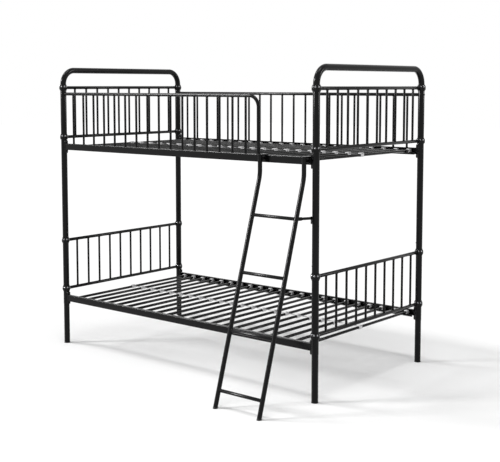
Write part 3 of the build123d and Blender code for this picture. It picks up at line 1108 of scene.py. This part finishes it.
def makeFeet(xs):
    bm = bmesh.new()
    sole, plug = foot["soleHeight"], foot["plugHeight"]
    for x in xs.values():
        low = Vector((x, stileY(-plug), -plug))
        high = Vector((x, stileY(sole), sole))
        part = bmesh.new()
        straightTube(part, low, high, foot["soleRadius"], foot["soleRounds"])
        cut = bmesh.ops.bisect_plane(  # level with the floor
            part,
            geom=part.verts[:] + part.edges[:] + part.faces[:],
            plane_co=(0, 0, 0),
            plane_no=(0, 0, -1),
            clear_outer=True,
        )
        bmesh.ops.edgenet_fill(part, edges=edgesIn(cut["geom_cut"]))
        join(bm, part)
        tip = (x, stileY(plug), plug)  # inside the stile
        straightTube(bm, high, tip, foot["plugRadius"], foot["plugRounds"], foot["plugLip"])
    finishPiece("ladder_foot_set", bm, "black_plastic", "ladder", ["ladder_feet"])


brace = {
    "gap": 1 * mm,
    "thickness": 4 * mm,
    "height": 14 * mm,
    "padLength": 19 * mm,
    "padWidth": 8 * mm,
    "padHeight": 18 * mm,
    "tabWidth": 22 * mm,
    "tabAbove": 8 * mm,
    "tabBelow": 30 * mm,
    "tabEdge": 0.6 * mm,
    "slot": 6.6 * mm,
    "overlap": 1 * mm,  # of blocks that are one piece
    "barEdge": 0.7 * mm,
    "barInset": 8 * mm,  # from the stile's middle
    "padEdge": 1.4 * mm,
    "padSteps": 3,
    "padInset": 7 * mm,
    "screwDrop": 17 * mm,
    "screwGap": 0.3 * mm,
    "screwLength": 14 * mm,
    "screwHead": 6 * mm,
    "screwHeight": 3 * mm,
}


def makeBrace(stileX):
    b = brace
    z = spots("ladder_rungs", 2, ladder["rungs"], 2 * ladder["rungRadius"])[-1]
    centre = axisOf("front_right")
    away = Vector((stileX - centre.x, stileY(z) - centre.y, 0))
    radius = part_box("upper_post_front_right")[1].x - centre.x
    place = Matrix.Translation((centre.x, centre.y, z)) @ Matrix.Rotation(atan2(away.y, away.x), 4, "Z")
    start = radius + b["gap"]
    end = start + b["thickness"]
    reach = away.length
    bm = bmesh.new()
    slotTop = -b["screwDrop"] + b["slot"] / 2
    for side in (-1, 1):
        ys = sorted((side * b["slot"] / 2, side * b["tabWidth"] / 2))
        block(bm, (start, ys[0], -b["tabBelow"]), (end, ys[1], slotTop + b["overlap"]), b["tabEdge"])
    half = b["tabWidth"] / 2
    block(bm, (start, -half, slotTop), (end, half, b["tabAbove"]), b["tabEdge"])
    half, rise = b["thickness"] / 2, b["height"] / 2
    block(bm, (end - b["overlap"], -half, -rise), (reach - b["barInset"], half, rise), b["barEdge"])
    padStart = reach - ladderLine()[0] - b["padLength"]
    half, rise = b["padWidth"] / 2, b["padHeight"] / 2
    block(bm, (padStart, -half, -rise), (reach - b["padInset"], half, rise), b["padEdge"], b["padSteps"])
    bmesh.ops.transform(bm, matrix=place, verts=bm.verts)
    finishPiece("ladder_brace_strap", bm, "black_powder_coat", "ladder", ["ladder_brace"])
    bm = bmesh.new()
    seat = place @ Vector((end + b["screwGap"], 0, -b["screwDrop"]))
    addBolt(bm, seat, away.normalized(), b["screwLength"], b["screwHead"], b["screwHeight"])
    finishPiece("brace_screw_head", bm, "black_fastener", "bed", ["brace_screw"])


makePosts()
makeGlides()
makeArches()
makeCollars()
makePanels()
makeGuards()
makeSideRails()
makeSaddles()
makeBolts()
makeSlats()
makeLadder()
bpy.data.meshes.remove(scratch)

# Floor, light and camera
studio = {
    "floorSize": 60.0,
    "floorTone": 0.94,
    "floorSpread": 0.005,
    "floorPatch": 0.8,
    "floorGloss": 0.9,
    "sky": 0.25,
    "lamps": {
        "softTop": {"from": (-0.64, -0.22, 0.74), "strength": 0.9, "angle": 11.0},
        "softSide": {"from": (-0.66, -0.67, 0.34), "strength": 2.6, "angle": 11.0},
        "softHigh": {"from": (0.12, -0.14, 0.98), "strength": 1.15, "angle": 26.0},
        "softBack": {"from": (0.80, 0.55, 0.26), "strength": 0.5, "angle": 8.0},
    },
}
view = {
    "place": (3.9805, -4.6387, 1.6133),  # from the floor midway between the posts
    "turn": 39.835,
    "dip": 5.06,
    "focal": 1024.55,  # in pixels of a picture of this width
    "width": 500,
    "sensor": 36,
    "shift": -0.11,
    "farClip": 100,
}


def makeStudio():
    bm = bmesh.new()
    bmesh.ops.create_grid(bm, x_segments=1, y_segments=1, size=studio["floorSize"] / 2)
    mesh = bpy.data.meshes.new("studioFloor")
    bm.to_mesh(mesh)
    bm.free()
    floor = bpy.data.objects.new("studioFloor", mesh)
    bpy.context.scene.collection.objects.link(floor)
    material, wire, coords = startMaterial("paleFloor")
    tone = noise(wire, coords, studio["floorPatch"])
    darker = (studio["floorTone"] - studio["floorSpread"],) * 3
    lighter = (studio["floorTone"] + studio["floorSpread"],) * 3
    sockets = {
        "Base Color": colourMix(wire, tone, darker, lighter),
        "Roughness": studio["floorGloss"],
        "Specular IOR Level": 0.0,
    }
    shader = wire.node("ShaderNodeBsdfPrincipled", {}, sockets)
    wire.node("ShaderNodeOutputMaterial", {}, {"Surface": shader})
    mesh.materials.append(material)
    world = bpy.data.worlds.new("studioSky")
    bpy.context.scene.world = world
    world.use_nodes = True
    world.node_tree.nodes.clear()
    wire = Wire(world.node_tree)
    seen = wire.node("ShaderNodeLightPath", {}, {}, "Is Camera Ray")
    glossy = Wire(world.node_tree, seen.socket.node.outputs["Is Glossy Ray"])
    through = Wire(world.node_tree, seen.socket.node.outputs["Is Transmission Ray"])
    shown = wire.maths("MAXIMUM", wire.maths("MAXIMUM", seen, glossy), through)
    strength = studio["sky"] + (1 - studio["sky"]) * shown
    sky = wire.node("ShaderNodeBackground", {}, {"Color": (1, 1, 1, 1), "Strength": strength})
    wire.node("ShaderNodeOutputWorld", {}, {"Surface": sky})
    for name, lamp in studio["lamps"].items():
        data = bpy.data.lights.new(name, "SUN")
        data.energy = lamp["strength"]
        data.angle = radians(lamp["angle"])
        light = bpy.data.objects.new(name, data)
        light.rotation_euler = Vector(lamp["from"]).to_track_quat("Z", "Y").to_euler()
        bpy.context.scene.collection.objects.link(light)


def makeCamera():
    data = bpy.data.cameras.new("photoView")
    data.sensor_width = view["sensor"]
    data.lens = view["focal"] * view["sensor"] / view["width"]
    data.shift_y = view["shift"]
    data.clip_end = view["farClip"]
    camera = bpy.data.objects.new("photoView", data)
    bedMiddle = (axisOf("front_left").y + axisOf("back_left").y) / 2
    camera.location = Vector(view["place"]) + Vector((0, bedMiddle, 0))
    camera.rotation_euler = (radians(90 - view["dip"]), 0, radians(view["turn"]))
    bpy.context.scene.collection.objects.link(camera)
    bpy.context.scene.camera = camera


makeStudio()
makeCamera()
bpy.context.scene.view_settings.view_transform = "Standard"
print("studio and camera ready")
